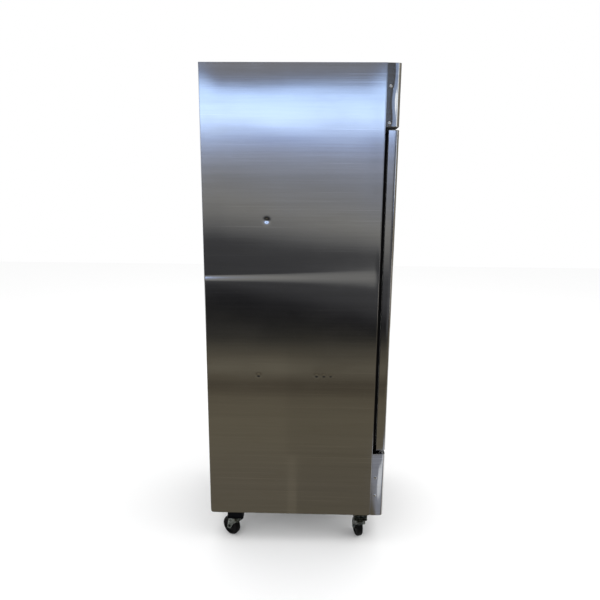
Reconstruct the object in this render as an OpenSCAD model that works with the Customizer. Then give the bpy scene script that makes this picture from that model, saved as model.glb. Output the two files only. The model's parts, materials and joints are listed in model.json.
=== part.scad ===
// Reach-in refrigerator, one section, compressor below. Millimetres, +Z up, the door faces -Y.
// The origin is on the floor under the middle of the bounding box.

/* [Cabinet] */
// outside width
body_w = 690; // [600:1:760]
// outside depth, controller bezel to back panel
body_d = 792; // [700:1:860]
// overall height on the casters
body_h = 2095; // [1800:1:2150]
// floor to the underside of the cabinet
leg_h = 152; // [130:1:180]
// how far the door and the panels stand in front of the side panels
front_t = 56; // [45:1:70]
// sheet thickness of the outer panels
skin = 1.5; // [1:0.1:2]
// insulated wall, outside face to inside face
wall = 60; // [45:1:75]

/* [Front] */
// height of the louvered lower panel
lower_h = 305; // [240:1:360]
// gap between the lower panel and the door
lower_gap = 20; // [8:1:30]
// door height
door_h = 1369; // [1200:1:1450]
// visible door edge
door_t = 41; // [35:1:50]
// height of the header panel
header_h = 238; // [150:1:280]
// radius of the upright front corners
corner_r = 18; // [8:1:24]

/* [Shelves] */
// shelf wire levels above the floor
shelf_z1 = 765; // [600:1:900]
shelf_z2 = 1085; // [900:1:1300]
shelf_z3 = 1405; // [1300:1:1600]
// cross wires on each shelf
shelf_wires = 19; // [12:1:26]

/* [Casters] */
// wheel diameter
wheel_d = 90; // [75:1:100]
// wheel width
wheel_w = 30; // [24:1:38]
// swivel offset
trail = 30; // [20:1:36]

/* [Parts] */
// slots in each shelf pilaster
slots = 34; // [20:1:44]
// fins on each coil
fins = 30; // [16:1:44]
// louvers in the lower panel
louvers = 9; // [5:1:12]

/* [Hidden] */
$fn = 48;
hw = body_w / 2;
bezel = 2;
y_front = -body_d / 2 + bezel;
y_back = body_d / 2;
y_cab = y_front + front_t;
door_z0 = leg_h + lower_h + lower_gap;
door_z1 = door_z0 + door_h;
head_z0 = body_h - header_h;
door_back = y_front + door_t;
in_x = hw - wall;
in_y = y_back - wall;
deck_z = leg_h + 313;
in_z0 = door_z0 + 30;
in_z1 = body_h - wall;
open_x = 270;
open_z0 = door_z0 + 30;
open_z1 = door_z1 - 30;
air = 0.3;
run = 0.05;
steel = [0.74, 0.75, 0.77];
dark = [0.16, 0.16, 0.17];
zinc = [0.62, 0.63, 0.65];
copper = [0.75, 0.45, 0.3];
white = [0.9, 0.9, 0.88];
black = [0.06, 0.06, 0.06];

// pipes that run down the back of the inside
back_y = in_y - 11;
drain_x = -150;
line_x = 114;

// supply side of the electrical box
box_z = leg_h + 62;
gland_x = -306;
rocker_x = -256;

// hinge pin axis
pin_x = hw - 20;
pin_y = y_front + 25;
pin_r = 6;

// casters: swivel axis of each
cast_x = hw - 50;
cast_yf = y_front + 98;
cast_yr = y_back - 110;
wheel_z = wheel_d / 2;
cast_z = leg_h - 36;
pedal_z = cast_z - 20;
head_screws = [leg_h + 1856, leg_h + 1719];
foot_screws = [leg_h + 190, leg_h + 102];
// heading of each trailing wheel, degrees about +Z from +Y
turn_rl = -34;
turn_fl = -76;
turn_rr = 24;
turn_fr = 12;

// block from one corner to the other
module block(a, b) {
  translate(a) cube([b[0] - a[0], b[1] - a[1], b[2] - a[2]]);
}

// cylinder along X, Y or Z, centred on a point
module rod_x(p, r, l) {
  translate(p) rotate([0, 90, 0]) cylinder(r = r, h = l, center = true);
}

module rod_y(p, r, l) {
  translate(p) rotate([90, 0, 0]) cylinder(r = r, h = l, center = true);
}

module rod_z(p, r, l) {
  translate(p) cylinder(r = r, h = l, center = true);
}

// straight tube between two points
module pipe(a, b, r) {
  d = b - a;
  l = norm(d);
  translate(a) rotate([0, acos(d[2] / l), atan2(d[1], d[0])]) cylinder(r = r, h = l, $fn = 16);
}

// run of tube with a round fitting at each bend
module pipe_run(pts, r) {
  for (i = [0 : len(pts) - 2]) pipe(pts[i], pts[i + 1], r);
  for (i = [1 : len(pts) - 2]) translate(pts[i]) sphere(r = r + 0.8, $fn = 16);
}

// ---- cabinet skin ----

// copy on both sides of the middle plane
module both() {
  children();
  mirror([1, 0, 0]) children();
}

// side outline, rounded at the two lower corners
module side_outline() {
  r = 10;
  translate([y_cab, leg_h + r]) square([y_back - y_cab, body_h - leg_h - r]);
  translate([y_cab + r, leg_h]) square([y_back - y_cab - 2 * r, r + 1]);
  translate([y_cab + r, leg_h + r]) circle(r = r);
  translate([y_back - r, leg_h + r]) circle(r = r);
}

// left side sheet, its front and rear returns, and the tabs that take the panel screws
module side_sheet() {
  difference() {
    union() {
      translate([-hw, 0, 0]) rotate([90, 0, 90]) linear_extrude(height = skin) side_outline();
      block([-hw + skin, y_cab, leg_h + 10], [-hw + 30, y_cab + skin, body_h]);
      block([-hw + skin, y_back - 2 * skin, leg_h + 12], [-hw + 20, y_back - skin, body_h - skin]);
      for (z = concat(head_screws, foot_screws))
        block([-hw + skin, y_cab - 26, z - 12], [-hw + skin + 2.5, y_cab, z + 12]);
    }
    for (z = head_screws) rod_x([-hw + 3, y_cab - 15, z], 2.6, 8);
    for (z = foot_screws) rod_x([-hw + 3, y_cab - 17, z], 2.6, 8);
  }
}

module side_panel_left() {
  color(steel) side_sheet();
}

module side_panel_right() {
  color(steel) mirror([1, 0, 0]) side_sheet();
}

module back_panel() {
  color(zinc) block([-hw + skin, y_back - skin, deck_z], [hw - skin, y_back, body_h - skin]);
}

module top_panel() {
  color(steel) {
    block([-hw + skin, y_cab + skin, body_h - skin], [hw - skin, y_back, body_h]);
    block([-hw + 30, y_cab, open_z1 + 40], [hw - 30, y_cab + skin, body_h]);
  }
}

// base pan with folded edges, corner posts, and the deck over the machine compartment
module base_frame() {
  z = leg_h;
  color(zinc) {
    difference() {
      block([-hw + skin, y_cab + skin, z], [hw - skin, y_back - 12, z + 2]);
      for (x = [-110, 110]) for (y = [-180, -140, -100])
        block([x - 60, y, z - 1], [x + 60, y + 18, z + 3]);
    }
    both() {
      block([-hw + skin, y_cab + skin, z + 2], [-hw + skin + 2, y_back - 12, z + 40]);
      block([-hw + 18, y_back - 24, z + 2], [-hw + 21, y_back - 12, deck_z]);
      block([-hw + 34, y_cab + 4, z + 2], [-hw + 37, y_cab + 34, deck_z]);
    }
    difference() {
      block([-hw + skin, y_cab + skin, deck_z], [hw - skin, y_back - 2 * skin, deck_z + 2]);
      rod_z([drain_x, back_y, deck_z], 11, 8);
      rod_z([line_x, back_y, deck_z], 11, 8);
    }
  }
}

// perforated cover behind the machine compartment, open at the switch and the cord gland
module rear_cover() {
  color(zinc) difference() {
    block([-hw + skin, y_back - skin, leg_h + 12], [hw - skin, y_back, deck_z]);
    for (i = [0 : 6]) for (j = [0 : 3])
      block([-190 + j * 125, y_back - 3, leg_h + 63 + i * 30],
        [-90 + j * 125, y_back + 1, leg_h + 73 + i * 30]);
    rod_y([gland_x, y_back, box_z], 13, 8);
    block([rocker_x - 20, y_back - 3, box_z - 18], [rocker_x + 20, y_back + 1, box_z + 18]);
  }
}

// poured foam: outer box less the inside, the door opening and the pipe holes
module insulation() {
  t = 1.5;
  color([0.9, 0.82, 0.55]) difference() {
    union() {
      block([-hw + skin, y_cab + skin, deck_z + 2], [hw - skin, y_back - 2 * skin, body_h - skin]);
      block([-hw + 20, y_back - 2 * skin, deck_z + 2], [hw - 20, y_back - skin, body_h - skin]);
    }
    block([-in_x - t, y_cab + 60 - t, in_z0 - t], [in_x + t, in_y + t, in_z1 + t]);
    block([-in_x - t, y_cab, in_z0 - t], [in_x + t, y_cab + 60, open_z1 + t]);
    block([-open_x - 45, y_cab, open_z0 - 40], [open_x + 45, y_cab + 16, open_z1 + 40]);
    rod_z([drain_x, back_y, in_z0 - 12], 11, 80);
    rod_z([line_x, back_y, in_z0 - 12], 11, 80);
  }
}

// the two side sheets of the inside
module liner_sides() {
  color(white) both() difference() {
    block([-in_x - 1.5, y_cab + 16, in_z0], [-in_x, in_y, in_z1]);
    block([-in_x - 2, y_cab + 15, open_z1 + 1.5], [-in_x + 1, y_cab + 58.5, in_z1 + 1]);
  }
}

module liner_back() {
  color(white) block([-in_x - 1.5, in_y, in_z0], [in_x + 1.5, in_y + 1.5, in_z1]);
}

// ceiling sheet, folded down behind the header and under it
module liner_top() {
  x = in_x + 1.5;
  color(white) {
    block([-x, y_cab + 58.5, in_z1], [x, in_y + 1.5, in_z1 + 1.5]);
    block([-in_x, y_cab + 58.5, open_z1 + 1.5], [in_x, y_cab + 60, in_z1]);
    block([-in_x, y_cab + 16, open_z1], [in_x, y_cab + 60, open_z1 + 1.5]);
  }
}

module liner_floor() {
  x = in_x + 1.5;
  color(white) difference() {
    block([-x, y_cab + 16, in_z0 - 1.5], [x, in_y + 1.5, in_z0]);
    rod_z([drain_x, back_y, in_z0], 9, 10);
    rod_z([line_x, back_y, in_z0], 11, 10);
  }
}

// four strips that close the edge between skin and liner
module breaker_strips() {
  x0 = open_x;
  y1 = y_cab + 16;
  color(dark) {
    both() block([x0, y_cab, open_z0 - 40], [x0 + 45, y1, open_z1 + 40]);
    block([-x0 + 0.2, y_cab, open_z0 - 40], [x0 - 0.2, y1, open_z0]);
    block([-x0 + 0.2, y_cab, open_z1], [x0 - 0.2, y1, open_z1 + 40]);
  }
}

// ---- front panels ----

// plan outline of a folded pan with rounded front corners
module pan_plan(r, inset, y1) {
  translate([-hw + r, y_front + inset]) square([2 * (hw - r), y1 - y_front - inset]);
  translate([-hw + inset, y_front + r]) square([2 * (hw - inset), y1 - y_front - r]);
  for (s = [-1, 1]) translate([s * (hw - r), y_front + r]) circle(r = r - inset);
}

// hollow pan, open at the back, notched for a hinge leg at one end
module pan(z0, z1, notch) {
  difference() {
    translate([0, 0, z0]) linear_extrude(height = z1 - z0) pan_plan(corner_r, 0, y_cab);
    translate([0, 0, z0 + skin]) linear_extrude(height = z1 - z0 - 2 * skin)
      pan_plan(corner_r, skin, y_cab + 1);
    block([hw - 92, y_cab - 5, notch - 3], [hw - 4, y_cab + 1, notch + 3]);
  }
}

ctrl_x = 205;
ctrl_z = head_z0 + 118;

module header_panel() {
  color(steel) difference() {
    pan(head_z0, body_h, head_z0);
    block([ctrl_x - 36, y_front - 1, ctrl_z - 15], [ctrl_x + 36, y_front + 3, ctrl_z + 15]);
    for (s = [-1, 1]) for (z = head_screws) rod_x([s * hw, y_cab - 15, z], 2.6, 8);
  }
}

// pan-head screw along X through a side flange
module side_screw(s, y, z) {
  translate([s * hw, y, z]) rotate([0, s * 90, 0]) {
    difference() {
      cylinder(r1 = 5, r2 = 3.6, h = 2.4);
      translate([-0.5, -3, 1.5]) cube([1, 6, 2]);
      translate([-3, -0.5, 1.5]) cube([6, 1, 2]);
    }
    translate([0, 0, -9]) cylinder(r = 2.5, h = 9);
  }
}

module panel_screws() {
  color(zinc) {
    for (s = [-1, 1]) {
      for (z = head_screws) side_screw(s, y_cab - 15, z);
      for (z = foot_screws) side_screw(s, y_cab - 17, z);
    }
  }
}

module controller_housing() {
  x = ctrl_x;
  z = ctrl_z;
  color(black) difference() {
    union() {
      block([x - 39, y_front - bezel, z - 18], [x + 39, y_front, z + 18]);
      block([x - 35.8, y_front, z - 14.8], [x + 35.8, y_front + 40, z + 14.8]);
    }
    block([x - 33, y_front - 3, z - 11], [x + 9, y_front + 0.5, z + 11]);
    for (i = [0 : 2]) rod_y([x + 17 + (i % 2) * 12, y_front, z + 8 - i * 8], 3.4, 14);
  }
}

module controller_display() {
  color([0.25, 0.03, 0.03])
    block([ctrl_x - 33, y_front - 1.2, ctrl_z - 11], [ctrl_x + 9, y_front + 0.5, ctrl_z + 11]);
}

module key_button(i) {
  rod_y([ctrl_x + 17 + (i % 2) * 12, y_front + 0.6, ctrl_z + 8 - i * 8], 3, 5);
}

module button_set() {
  color(zinc) key_button(0);
}

module button_up() {
  color(zinc) key_button(1);
}

module button_down() {
  color(zinc) key_button(2);
}

// lower pan with its slanted louvers
module lower_panel() {
  z0 = leg_h;
  z1 = leg_h + lower_h;
  step = (lower_h - 90) / (louvers - 1);
  color(steel) {
    difference() {
      pan(z0, z1, z1);
      for (i = [0 : louvers - 1])
        block([-260, y_front - 1, z0 + 40 + i * step], [260, y_front + 2, z0 + 52 + i * step]);
      for (s = [-1, 1]) for (z = foot_screws) rod_x([s * hw, y_cab - 17, z], 2.6, 8);
    }
    for (i = [0 : louvers - 1])
      translate([0, y_front + 0.75, z0 + 52.6 + i * step]) rotate([-38, 0, 0])
        translate([-259.5, -0.1, -1]) cube([519, 17, 1.2]);
  }
}

// ---- shelving ----

pil_y1 = y_cab + 70;
pil_y2 = in_y - 60;

module pilaster(x, y) {
  z0 = in_z0 + 20;
  pitch = 32;
  translate([x, y, 0]) difference() {
    union() {
      block([0, -12, z0], [1.5, 12, z0 + slots * pitch]);
      block([0, -12, z0], [5, -10.5, z0 + slots * pitch]);
      block([0, 10.5, z0], [5, 12, z0 + slots * pitch]);
    }
    for (i = [0 : slots - 1]) block([-1, -5, z0 + 10 + i * pitch], [3, 5, z0 + 18 + i * pitch]);
  }
}

// strips stand off the liner on their folded edges
module shelf_pilasters() {
  color(zinc) both() for (y = [pil_y1, pil_y2]) pilaster(in_x - 5, y);
}

// clip with a tab through the strip and a ledge for the shelf wire
module shelf_clip(y, z) {
  translate([in_x - 5, y, z]) {
    block([-2, -9, -16], [0, 9, 4]);
    block([-17, -9, -5.6], [-2, 9, -3.6]);
    block([0, -4, -2.5], [4, 4, 0.5]);
  }
}

module shelf_clips() {
  color(zinc) both() for (z = [shelf_z1, shelf_z2, shelf_z3]) for (y = [pil_y1, pil_y2]) shelf_clip(y, z);
}

// wire shelf: frame, cross wires and two stiffeners under them
module wire_shelf(z) {
  x1 = in_x - 14;
  y0 = y_cab + 30;
  y1 = in_y - 35;
  color(white) {
    for (s = [-1, 1]) rod_y([s * x1, (y0 + y1) / 2, z], 3.2, y1 - y0);
    for (y = [y0, y1]) rod_x([0, y, z], 3.2, 2 * x1);
    for (s = [-1, 1]) for (y = [y0, y1]) translate([s * x1, y, z]) sphere(r = 3.2);
    for (k = [1 : 3]) rod_x([0, y0 + k * (y1 - y0) / 4, z - 1], 2.6, 2 * x1);
    for (i = [1 : shelf_wires])
      rod_y([-x1 + 2 * i * x1 / (shelf_wires + 1), (y0 + y1) / 2, z + 2.4], 1.9, y1 - y0 + 1);
  }
}

module shelf_top() {
  wire_shelf(shelf_z3);
}

module shelf_middle() {
  wire_shelf(shelf_z2);
}

module shelf_bottom() {
  wire_shelf(shelf_z1);
}

// ---- cold side ----

ev_z0 = in_z1 - 160;
ev_y0 = y_cab + 76;
ev_y1 = in_y - 30;
fan_x = 0;

// strip lamp under the head of the opening, half round lens
module interior_lamp() {
  z = open_z1;
  color(white) {
    block([-in_x + 20, y_cab + 20, z - 6], [in_x - 20, y_cab + 48, z]);
    translate([-in_x + 24, y_cab + 34, z - 6]) rotate([0, 90, 0]) difference() {
      cylinder(r = 12, h = 2 * in_x - 48);
      translate([-13, -13, -1]) cube([13, 26, 2 * in_x]);
    }
  }
}

// folded cover under the coil with the fan outlet and its guard rings
module evaporator_cover() {
  x = in_x - 40;
  fy = ev_y0 + 110;
  color(white) {
    difference() {
      block([-x, ev_y0, ev_z0], [x, ev_y1, ev_z0 + 1.5]);
      rod_z([fan_x, fy, ev_z0], 84, 10);
      for (i = [0 : 7])
        block([-180, ev_y1 - 130 + i * 14, ev_z0 - 2], [180, ev_y1 - 124 + i * 14, ev_z0 + 4]);
    }
    both() block([x - 1.5, ev_y0, ev_z0 + 1.5], [x, ev_y1, in_z1]);
    difference() {
      block([-x + 1.5, ev_y0, ev_z0 + 1.5], [x - 1.5, ev_y0 + 1.5, in_z1]);
      for (i = [0 : 5])
        block([-180, ev_y0 - 2, ev_z0 + 40 + i * 16], [180, ev_y0 + 3, ev_z0 + 48 + i * 16]);
    }
    for (r = [20, 36, 52, 68, 82]) translate([fan_x, fy, ev_z0 - 2]) rotate_extrude()
      translate([r, 0]) circle(r = 1.6, $fn = 16);
    for (a = [0 : 45 : 315]) translate([fan_x, fy, ev_z0 - 1]) rotate([0, 0, a])
      translate([52, 0, 0]) rotate([0, 90, 0]) cylinder(r = 1.6, h = 76, center = true, $fn = 16);
  }
}

// fin block with its tube bends
module evaporator_coil() {
  x = in_x - 70;
  y0 = ev_y0 + 250;
  y1 = ev_y1 - 30;
  z0 = ev_z0 + 24;
  z1 = in_z1 - 14;
  color(zinc) {
    difference() {
      block([-x, y0, z0], [x, y1, z1]);
      for (i = [0 : fins - 1]) {
        xi = -x + (i + 0.5) * 2 * x / fins;
        block([xi - 5, y0 - 1, z0 - 1], [xi + 5, y0 + 34, z1 + 1]);
        block([xi - 5, y1 - 34, z0 - 1], [xi + 5, y1 + 1, z1 + 1]);
      }
    }
    for (i = [0 : 3]) for (j = [0 : 2])
      rod_x([0, y0 + 30 + i * (y1 - y0 - 60) / 3, z0 + 20 + j * 40], 4.5, 2 * x + 36);
    for (s = [-1, 1]) block([s * x - 1, y0 - 6, z0 - 4], [s * x + 1, y1 + 6, in_z1]);
  }
}

module evaporator_fan_motor() {
  y = ev_y0 + 110;
  color(dark) {
    rod_z([fan_x, y, ev_z0 + 66], 28, 44);
    rod_z([fan_x, y, ev_z0 + 42], 3, 12);
    block([fan_x - 100, y - 10, ev_z0 + 88], [fan_x + 100, y + 10, ev_z0 + 90]);
    for (s = [-1, 1]) block([fan_x + s * 99 - 1, y - 10, ev_z0 + 90], [fan_x + s * 99 + 1, y + 10, in_z1]);
  }
}

// hub with a shaft bore and pitched blades
module fan_rotor(r, hub, h, n, bore) {
  difference() {
    union() {
      cylinder(r = hub, h = h);
      for (i = [0 : n - 1]) rotate([0, 0, i * 360 / n])
        translate([hub - 3, 0, h / 2]) rotate([28, 0, 0])
          linear_extrude(height = 2, center = true)
            polygon([[0, -hub * 0.45], [0, hub * 0.45], [r - hub - 2, r * 0.3],
              [r - hub + 2, 0], [r - hub - 2, -r * 0.3]]);
    }
    translate([0, 0, -1]) cylinder(r = bore, h = h + 2);
  }
}

module evaporator_fan_blade() {
  color(black) translate([fan_x, ev_y0 + 110, ev_z0 + 20]) fan_rotor(76, 16, 22, 5, 3 + run);
}

// drain down the back of the inside to the condensate pan, with a funnel at the top
module drain_tube() {
  z0 = deck_z - 110;
  z1 = ev_z0 + 18;
  color(white) difference() {
    union() {
      rod_z([drain_x, back_y, (z0 + z1) / 2], 8, z1 - z0);
      rod_z([drain_x, back_y, z1 - 4], 10, 8);
    }
    rod_z([drain_x, back_y, (z0 + z1) / 2], 6, z1 - z0 + 4);
  }
}

// ---- machine compartment ----

pan_z = leg_h + 2;
comp = [170, 200];

// welded compressor shell on its foot plate
module compressor() {
  color(black) {
    translate([comp[0], comp[1], pan_z + 14]) {
      rotate_extrude() union() {
        translate([0, 30]) square([78, 106]);
        translate([0, 8]) square([56, 150]);
        translate([56, 30]) intersection() {
          circle(r = 22);
          translate([0, -22]) square([22, 22]);
        }
        translate([56, 136]) intersection() {
          circle(r = 22);
          square([22, 22]);
        }
      }
      translate([0, 0, 78]) cylinder(r = 81, h = 6);
      difference() {
        translate([-110, -80, 0]) cube([220, 160, 8]);
        for (x = [-95, 95]) for (y = [-64, 64]) translate([x, y, -1]) cylinder(r = 8.2, h = 12);
      }
      translate([-30, -98, 60]) cube([60, 26, 56]);
      translate([40, 40, 150]) cylinder(r = 5, h = 26);
      translate([-40, 30, 150]) cylinder(r = 7, h = 26);
    }
  }
}

module compressor_grommets() {
  color([0.2, 0.1, 0.08]) for (x = [-95, 95]) for (y = [-64, 64])
    translate([comp[0] + x, comp[1] + y, pan_z]) {
      cylinder(r = 13, h = 14);
      translate([0, 0, 14]) cylinder(r = 8, h = 8);
      translate([0, 0, 22]) cylinder(r = 12, h = 4);
    }
}

con_y = y_cab + 40;
con_z0 = pan_z + 6;
con_z1 = pan_z + 266;
con_x = 190;

module condenser_coil() {
  y0 = con_y;
  y1 = con_y + 62;
  color(dark) {
    difference() {
      block([-con_x, y0, con_z0], [con_x, y1, con_z1]);
      for (i = [0 : fins - 1]) {
        xi = -con_x + (i + 0.5) * 2 * con_x / fins;
        block([xi - 4.6, y0 - 1, con_z0 - 1], [xi + 4.6, y0 + 24, con_z1 + 1]);
        block([xi - 4.6, y1 - 24, con_z0 - 1], [xi + 4.6, y1 + 1, con_z1 + 1]);
      }
    }
    for (i = [0 : 6]) for (y = [y0 + 16, y1 - 16])
      rod_x([0, y, con_z0 + 24 + i * 35], 4.8, 2 * con_x + 24);
    for (i = [0 : 2 : 5]) for (s = [-1, 1]) for (y = [y0 + 16, y1 - 16])
      rod_z([s * (con_x + 12), y, con_z0 + 41.5 + i * 35 + (s > 0 ? 0 : 35)], 4.8, 35);
    rod_y([-con_x - 12, con_y + 31, con_z0 + 24], 4.8, 30);
    for (s = [-1, 1]) block([s * con_x - 1, y0 - 4, pan_z], [s * con_x + 1, y1 + 4, con_z1 + 6]);
  }
}

fan_z = con_z0 + 130;
fan_y = con_y + 66;

module condenser_shroud() {
  y0 = fan_y;
  y1 = y0 + 34;
  z0 = pan_z;
  z1 = con_z1 + 6;
  color(zinc) difference() {
    block([-con_x - 1, y0, z0], [con_x + 1, y1, z1]);
    block([-con_x + 0.5, y0 - 1, z0 + 1.5], [con_x - 0.5, y1 - 1.5, z1 - 1.5]);
    rod_y([0, y1, fan_z], 118, 12);
  }
}

module condenser_fan_motor() {
  y = fan_y + 46;
  color(dark) {
    rod_y([0, y + 34, fan_z], 40, 50);
    rod_y([0, y - 4, fan_z], 4, 28);
    for (a = [45, 135, 225, 315]) translate([0, y + 40, fan_z]) rotate([0, a, 0]) {
      translate([36, -2, -4]) cube([98, 4, 8]);
      translate([126, -52, -4]) cube([8, 50, 8]);
    }
  }
}

module condenser_fan_blade() {
  color(zinc) translate([0, fan_y + 52, fan_z]) rotate([90, 0, 0]) fan_rotor(108, 24, 24, 5, 4 + run);
}

drier_z = pan_z + 171;

module filter_drier() {
  color(copper) {
    rod_y([252, 20, drier_z], 15, 110);
    translate([252, 75, drier_z]) rotate([-90, 0, 0]) cylinder(r1 = 15, r2 = 5, h = 16);
    translate([252, -35, drier_z]) rotate([90, 0, 0]) cylinder(r1 = 15, r2 = 5, h = 16);
  }
}

// discharge, liquid and suction lines
module refrigerant_lines() {
  top = pan_z + 190;
  high = con_z0 + 234;
  duct = deck_z - 40;
  color(copper) {
    pipe_run([[comp[0] + 40, comp[1] + 40, top], [comp[0] + 40, comp[1] + 40, top + 34],
      [290, comp[1] + 40, top + 34], [290, -190, top + 34], [290, -190, high],
      [290, con_y + 16, high], [con_x + 12, con_y + 16, high]], 5);
    pipe_run([[con_x + 12, con_y + 46, high], [252, con_y + 46, high], [252, -70, high],
      [252, -70, drier_z], [252, -51, drier_z]], 3.2);
    pipe_run([[252, 91, drier_z], [252, 112, drier_z], [252, 112, duct], [120, 290, duct],
      [120, back_y, duct], [120, back_y, ev_z0 + 44], [120, in_y - 60, ev_z0 + 44]], 3.2);
    pipe_run([[comp[0] - 40, comp[1] + 30, top], [comp[0] - 40, comp[1] + 30, duct + 12],
      [108, back_y, duct + 12], [108, back_y, ev_z0 + 60], [108, in_y - 60, ev_z0 + 60]], 4.4);
  }
}

// tray on four legs
module condensate_pan() {
  x0 = -220;
  x1 = -30;
  color(black) {
    difference() {
      block([x0, 130, pan_z + 70], [x1, 340, pan_z + 130]);
      block([x0 + 2, 132, pan_z + 72], [x1 - 2, 338, pan_z + 131]);
    }
    for (x = [x0 + 2, x1 - 8]) for (y = [132, 332])
      block([x, y, pan_z], [x + 6, y + 6, pan_z + 70]);
  }
}

box_y = y_back - 24;

// wiring box with the gland for the supply cord and the ears that carry the switch
module electrical_box() {
  color(zinc) {
    difference() {
      block([-330, box_y - 90, pan_z], [-230, box_y, pan_z + 110]);
      block([-328.5, box_y - 88.5, pan_z + 1.5], [-231.5, box_y - 1.5, pan_z + 108.5]);
      block([rocker_x - 15, box_y - 3, box_z - 14], [rocker_x + 15, box_y + 1, box_z + 14]);
      rod_y([gland_x, box_y, box_z], 4.5, 8);
    }
    for (s = [-1, 1]) difference() {
      translate([rocker_x + s * 16, box_y - 7, box_z]) cube([1.6, 14, 10], center = true);
      rod_x([rocker_x + s * 16, box_y - 5, box_z], 2 + run, 6);
    }
    translate([gland_x, box_y, box_z]) rotate([-90, 0, 0]) difference() {
      union() {
        cylinder(r = 12, h = 12);
        cylinder(r = 9, h = 22);
      }
      translate([0, 0, -1]) cylinder(r = 4.5, h = 30);
    }
  }
}

// rocker on its cross pin, tipped to the on side
module power_switch() {
  color([0.5, 0.05, 0.05]) translate([rocker_x, box_y - 5, box_z]) rotate([8, 0, 0]) {
    rotate([0, 90, 0]) cylinder(r = 2, h = 33, center = true);
    translate([-13, -3, -9]) cube([26, 11, 18]);
  }
}

// ---- hinges and door ----

// angle plates on the cabinet front, each with its pin
module hinge_brackets() {
  z0 = door_z0 - 6;
  z1 = door_z1 + 3;
  color(steel) {
    block([pin_x - 14, pin_y - 14, z0], [pin_x + 14, y_cab, z0 + 3]);
    block([hw - 90, y_cab - 3, z0 - 40], [pin_x + 14, y_cab, z0 + 3]);
    rod_z([pin_x, pin_y, z0 + 13.5], pin_r, 27);
    block([pin_x - 14, pin_y - 14, z1], [pin_x + 14, y_cab, z1 + 3]);
    block([hw - 90, y_cab - 3, z1], [pin_x + 14, y_cab, z1 + 43]);
    rod_z([pin_x, pin_y, z1 - 10.5], pin_r, 27);
  }
}

module hinge_bushes() {
  color(white) for (z = [door_z0, door_z1 - 22]) translate([pin_x, pin_y, z]) difference() {
    cylinder(r = 9, h = 22);
    translate([0, 0, -1]) cylinder(r = pin_r + run, h = 24);
  }
}

door_r = corner_r - 4;
pull_z = door_z0 + 690;
pull_x = -hw + 62;

module door_shell() {
  h = door_h - 2 * skin;
  color(steel) difference() {
    translate([0, 0, door_z0]) linear_extrude(height = door_h) pan_plan(door_r, 0, door_back);
    translate([0, 0, door_z0 + skin]) linear_extrude(height = h)
      pan_plan(door_r, skin, door_back - skin);
    block([-hw + 16, door_back - skin - 1, door_z0 + 16], [hw - 16, door_back + 1, door_z1 - 16]);
    block([pull_x - 30, y_front - 1, pull_z - 105], [pull_x + 30, y_front + 4, pull_z + 105]);
    for (z = [door_z0, door_z1]) rod_z([pin_x, pin_y, z], 9.1, 44);
  }
}

module door_insulation() {
  h = door_h - 2 * skin;
  color([0.9, 0.82, 0.55]) difference() {
    translate([0, 0, door_z0 + skin]) linear_extrude(height = h)
      pan_plan(door_r, skin, door_back - skin);
    block([pull_x - 30, y_front, pull_z - 105], [pull_x + 30, y_front + 27, pull_z + 105]);
    for (z = [door_z0, door_z1]) rod_z([pin_x, pin_y, z], 9.1, 44);
  }
}

// inner pan of the door with its raised middle
module door_liner() {
  color(white) {
    block([-hw + 16, door_back - skin, door_z0 + 16], [hw - 16, door_back, door_z1 - 16]);
    difference() {
      block([-open_x + 16, door_back, open_z0 + 16], [open_x - 16, door_back + 22, open_z1 - 16]);
      block([-open_x + 46, door_back + 6, open_z0 + 46], [open_x - 46, door_back + 23, open_z1 - 46]);
    }
  }
}

gas_x = hw - 21;

// magnetic gasket ring, its lip just off the cabinet face
module door_gasket() {
  z0 = door_z0 + 12;
  z1 = door_z1 - 12;
  y1 = y_cab - air;
  color(black) {
    difference() {
      block([-gas_x, door_back, z0], [gas_x, y1, z1]);
      block([-gas_x + 26, door_back - 1, z0 + 26], [gas_x - 26, y1 + 1, z1 - 26]);
      difference() {
        block([-gas_x - 1, door_back + 5, z0 - 1], [gas_x + 1, door_back + 8, z1 + 1]);
        block([-gas_x + 5, door_back, z0 + 5], [gas_x - 5, y1, z1 - 5]);
      }
    }
  }
}

// recessed finger pull in the door face
module door_pull() {
  color(dark) difference() {
    union() {
      block([pull_x - 30, y_front, pull_z - 105], [pull_x + 30, y_front + 27, pull_z + 105]);
      block([pull_x - 35, y_front - 1.6, pull_z - 110], [pull_x + 35, y_front, pull_z + 110]);
    }
    block([pull_x - 26, y_front - 3, pull_z - 101], [pull_x + 26, y_front + 24, pull_z + 101]);
    block([pull_x - 28, y_front + 8, pull_z - 101], [pull_x - 20, y_front + 24, pull_z + 101]);
  }
}

// ---- casters ----

// spacer channel, mounting plate with its bolt heads, ball race and kingpin
module caster_plate(x, y, w) {
  z = cast_z;
  translate([x, y, 0]) {
    block([-w, -w, z], [w, w, leg_h]);
    block([-w - 2, -w - 2, z - 4], [w + 2, w + 2, z]);
    for (i = [-1, 1]) for (j = [-1, 1])
      translate([i * (w - 7), j * (w - 7), z - 8]) cylinder(r = 6.5, h = 4, $fn = 6);
    rod_z([0, 0, z - 9], 24, 10);
    rod_z([0, 0, z - 18], 5, 16);
    rod_z([0, 0, z - 23], 8, 4.4);
  }
}

module caster_plates() {
  color(black) for (s = [-1, 1]) {
    caster_plate(s * cast_x, cast_yf, 30);
    caster_plate(s * cast_x, cast_yr, 36);
  }
}

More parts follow.
